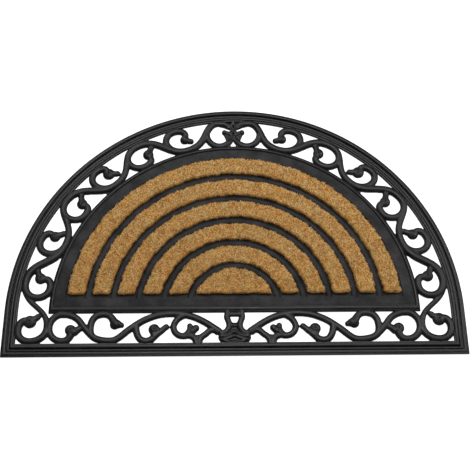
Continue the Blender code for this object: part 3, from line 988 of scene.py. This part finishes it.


# Sizes in mm. Fibres gather into uneven tufts, and the whole falls away at the edges. Sunken tufts, low tufts,
# the edges and the roots are darkened as painted shade, and high tufts lightened as painted light
pileSet = {
    "seed": 41, "spacing": 0.8, "shake": 0.4, "inset": 0.1, "width": 0.44, "widths": (0.75, 1.2),
    "lean": 0.6, "swirl": 0.7, "swirlSize": 7, "splay": 0.6, "gather": 0.3,
    "tuft": 1.8, "tuftShake": 0.45, "tuftTint": 0.36, "tuftRise": 0.45, "crown": 0.16,
    "dips": 0.18, "dipShade": 0.75, "dipRise": 2.1, "edge": 3.4, "edgeFall": 2.8, "edgePower": 1.7,
    "rootIn": 0.7, "rootFall": 2.4, "above": 1.2, "tips": (0.15, 0.25), "tipEnds": (-3.6, 0.9),
    "tint": (0.42, 0.2), "riseShade": 0.08, "rootShade": 0.25, "edgeShade": 0.45}
# Wall fibres have a darker tint and a low height level, as painted shade on the inlays' sides
wallSet = {
    "seed": 50, "step": 0.62, "jitter": 0.18, "tuft": 4, "reach": (-0.2, 1.5), "loose": 0.2,
    "lean": 0.3, "inset": 0.15, "root": (2.6, 5.5), "length": (2.6, 4.6), "width": 0.4,
    "tint": (0.28, 0.12), "tuftTint": 0.12, "height": 0.12}


def scatter(number, step, shake, randoms):  # a shaken honeycomb of places over the inlay
    outer, inner = inlay(number)
    across = np.arange(-outer - 2 * mm, outer + 2 * mm, step)
    up = np.arange(coirBase - 2 * mm, outer + 2 * mm, step * 0.866)
    x, y = (one.ravel() for one in np.meshgrid(across, up))
    x = x + np.resize([0, step / 2], len(up)).repeat(len(across))
    x = x + randoms.uniform(-shake, shake, len(x)) * step
    y = y + randoms.uniform(-shake, shake, len(x)) * step
    near = (np.hypot(x, y) < outer + 3 * mm) & (np.hypot(x, y) > inner - 3 * mm)
    return x[near], y[near]


def nearestTuft(number, x, y, randoms):  # the tufts that neighbouring fibres gather into
    tuftX, tuftY = scatter(number, pileSet["tuft"] * mm, pileSet["tuftShake"], randoms)
    tree = kdtree.KDTree(len(tuftX))
    for k, (a, b) in enumerate(zip(tuftX, tuftY)):
        tree.insert((a, b, 0), k)
    tree.balance()
    return np.array([tree.find((a, b, 0))[1] for a, b in zip(x, y)]), tuftX, tuftY


def addPile(number):
    randoms = np.random.default_rng(pileSet["seed"] + number)
    x, y = scatter(number, pileSet["spacing"] * mm, pileSet["shake"], randoms)
    depth, out = inside(number, x, y)
    kept = depth > pileSet["inset"] * mm
    x, y, depth, out = x[kept], y[kept], depth[kept], out[kept]
    count = len(x)
    tuft, tuftX, tuftY = nearestTuft(number, x, y, randoms)
    toTuft = np.stack([tuftX[tuft] - x, tuftY[tuft] - y], 1) / mm
    tuftTint = randoms.normal(0, pileSet["tuftTint"], len(tuftX))[tuft]
    tuftRise = randoms.normal(0, pileSet["tuftRise"], len(tuftX))[tuft]
    tuftRise = tuftRise - pileSet["crown"] * (toTuft ** 2).sum(1)
    dips = (randoms.random(len(tuftX)) < pileSet["dips"])[tuft]
    # Sunken tufts are also darkened, as painted shade
    tuftTint, tuftRise = tuftTint - pileSet["dipShade"] * dips, tuftRise - pileSet["dipRise"] * dips
    edge = np.clip(1 - depth / (pileSet["edge"] * mm), 0, 1)
    swirl = np.stack([softNoise(x, y, pileSet["swirlSize"] * mm, seed) for seed in (21, 33)], 1)
    lean = randoms.normal(0, pileSet["lean"], (count, 2)) + pileSet["swirl"] * swirl
    lean = lean + pileSet["splay"] * edge[:, None] * out + pileSet["gather"] * toTuft
    tips = tuftRise + randoms.normal(*pileSet["tips"], count)
    tips = tips - pileSet["edgeFall"] * edge ** pileSet["edgePower"]
    low = np.full(count, bedSet["top"] - pileSet["rootIn"] * mm) - pileSet["rootFall"] * mm * edge ** 2
    high = coirHigh.z + (np.clip(tips, *pileSet["tipEnds"]) + pileSet["above"]) * mm
    root = np.stack([x, y, low], 1)
    tip = np.concatenate([root[:, :2] + lean * mm, high[:, None]], 1)
    # Tufts that stand lower are darker and higher ones paler, as painted shade and painted light
    tint = randoms.normal(*pileSet["tint"], count) + tuftTint + pileSet["riseShade"] * tuftRise
    width = randoms.uniform(*pileSet["widths"], count) * pileSet["width"] * mm
    # Painted shade: the tips darken towards the edges
    height = 1 - pileSet["edgeShade"] * edge
    return root, tip, width, tint.clip(0, 1), np.full(count, pileSet["rootShade"]), height


def addWall(number):  # fibres that stand along the cut edges, darkened as painted shade
    outer, inner = inlay(number)
    randoms = np.random.default_rng(pileSet["seed"] + wallSet["seed"] + number)
    step = wallSet["step"] * mm
    runs = []
    for radius, seed in ((outer, number + outerRun), (inner, number + innerRun)):
        if radius:
            start = math.asin((coirBase + coirCorner) / radius)
            angle = np.arange(start, math.pi - start, step / radius)
            edge = radius + ragged(radius * angle, seed)
            runs.append(np.stack([edge * np.cos(angle), edge * np.sin(angle)], 1))
    end = outer * math.cos(math.asin(coirBase / outer)) - coirCorner
    for side in (1, -1):
        start = end - (outer - inner) + 2 * coirCorner if inner else 0
        x = side * np.arange(start, end, step)
        runs.append(np.stack([x, coirBase + raggedFoot(x, number)], 1))
    spots = np.concatenate(runs)
    spots = spots + randoms.normal(0, wallSet["jitter"] * mm, spots.shape)
    _, out = inside(number, spots[:, 0], spots[:, 1])
    count = len(spots)
    tuft = np.arange(count) // wallSet["tuft"]
    reach = randoms.uniform(*wallSet["reach"], count)[tuft] + randoms.normal(0, wallSet["loose"], count)
    low = randoms.uniform(*wallSet["root"], count) * mm
    lean = out * reach[:, None] + randoms.normal(0, wallSet["lean"], (count, 2))
    high = low + randoms.uniform(*wallSet["length"], count) * mm
    root = np.concatenate([spots - out * wallSet["inset"] * mm, low[:, None]], 1)
    tip = np.concatenate([spots + lean * mm, high[:, None]], 1)
    tint = randoms.normal(*wallSet["tint"], count) + randoms.normal(0, wallSet["tuftTint"], count)[tuft]
    width = np.full(count, wallSet["width"] * mm)
    return root, tip, width, tint.clip(0, 1), np.zeros(count), np.full(count, wallSet["height"])


def addCoir():
    for number, node in enumerate(coirNodes):
        bed = addBed(number, f"{node}_bed")
        dress(bed, pileMaterial, "coir", node)
        parts = [np.concatenate(pair) for pair in zip(addPile(number), addWall(number))]
        for ends in parts[:2]:
            ends[:, 1] = risen(number, ends[:, 1])
        pile = spikes(f"{node}_pile", *parts)
        dress(pile, pileMaterial, "coir", node)
        area = sum(face.area for face in pickOnly(bed).data.polygons if face.normal.z < -0.9)
        print(f"{node}: {area * 1e6:.0f} square mm laid")


addCoir()


# Floor, light and background

# The second glow of each pair is for the camera's own rays, so that it sees the mat on white
stageSet = {"size": 60, "height": -0.2 * mm, "grey": (0.4, 0.4, 0.4, 1), "floor": (0.1, 0.9),
            "sky": (0.14, 0.92)}
# Name, place and watts, then width and depth, in metres
lightRows = [
    ("key_light", (0, 0.8, 3.1), 72, 0.9, 1.5),
    ("right_light", (1.4, 0.35, 1.2), 15, 0.7, 0.7),
    ("left_light", (-0.9, 1.4, 1.1), 9, 0.6, 0.6)]


def byRay(tree, others, camera):  # one strength for the camera's own rays and one for all others
    ray = addNode(tree, "ShaderNodeLightPath", -600, 0)
    level = put(addNode(tree, "ShaderNodeMapRange", -300, 0), Value=ray.outputs["Is Camera Ray"])
    return put(level, To_Min=others, To_Max=camera).outputs["Result"]


def addStage():
    bpy.ops.mesh.primitive_plane_add(size=stageSet["size"], location=(0, 0, stageSet["height"]))
    floor = named("pale_floor")
    material, tree, shader = newMaterial("pale floor")
    put(shader, Base_Color=stageSet["grey"], Roughness=0.9, Specular_IOR_Level=0,
        Emission_Color=(1, 1, 1, 1), Emission_Strength=byRay(tree, *stageSet["floor"]))
    floor.data.materials.append(material)
    world = bpy.data.worlds.new("soft studio")
    bpy.context.scene.world = world
    world.use_nodes = True
    sky = world.node_tree.nodes["Background"]
    put(sky, Color=(1, 1, 1, 1), Strength=byRay(world.node_tree, *stageSet["sky"]))


def addLight(name, place, watts, wide, deep):  # aimed at the mat's middle
    bpy.ops.object.light_add(type="AREA", location=place)
    light = named(name)
    light.data.shape = "RECTANGLE"
    light.data.energy = watts
    light.data.size, light.data.size_y = wide, deep
    light.rotation_euler = Vector(place).to_track_quat("Z", "Y").to_euler()


addStage()
for row in lightRows:
    addLight(*row)
bpy.context.scene.view_settings.view_transform = "Standard"
print("stage and lights ready")
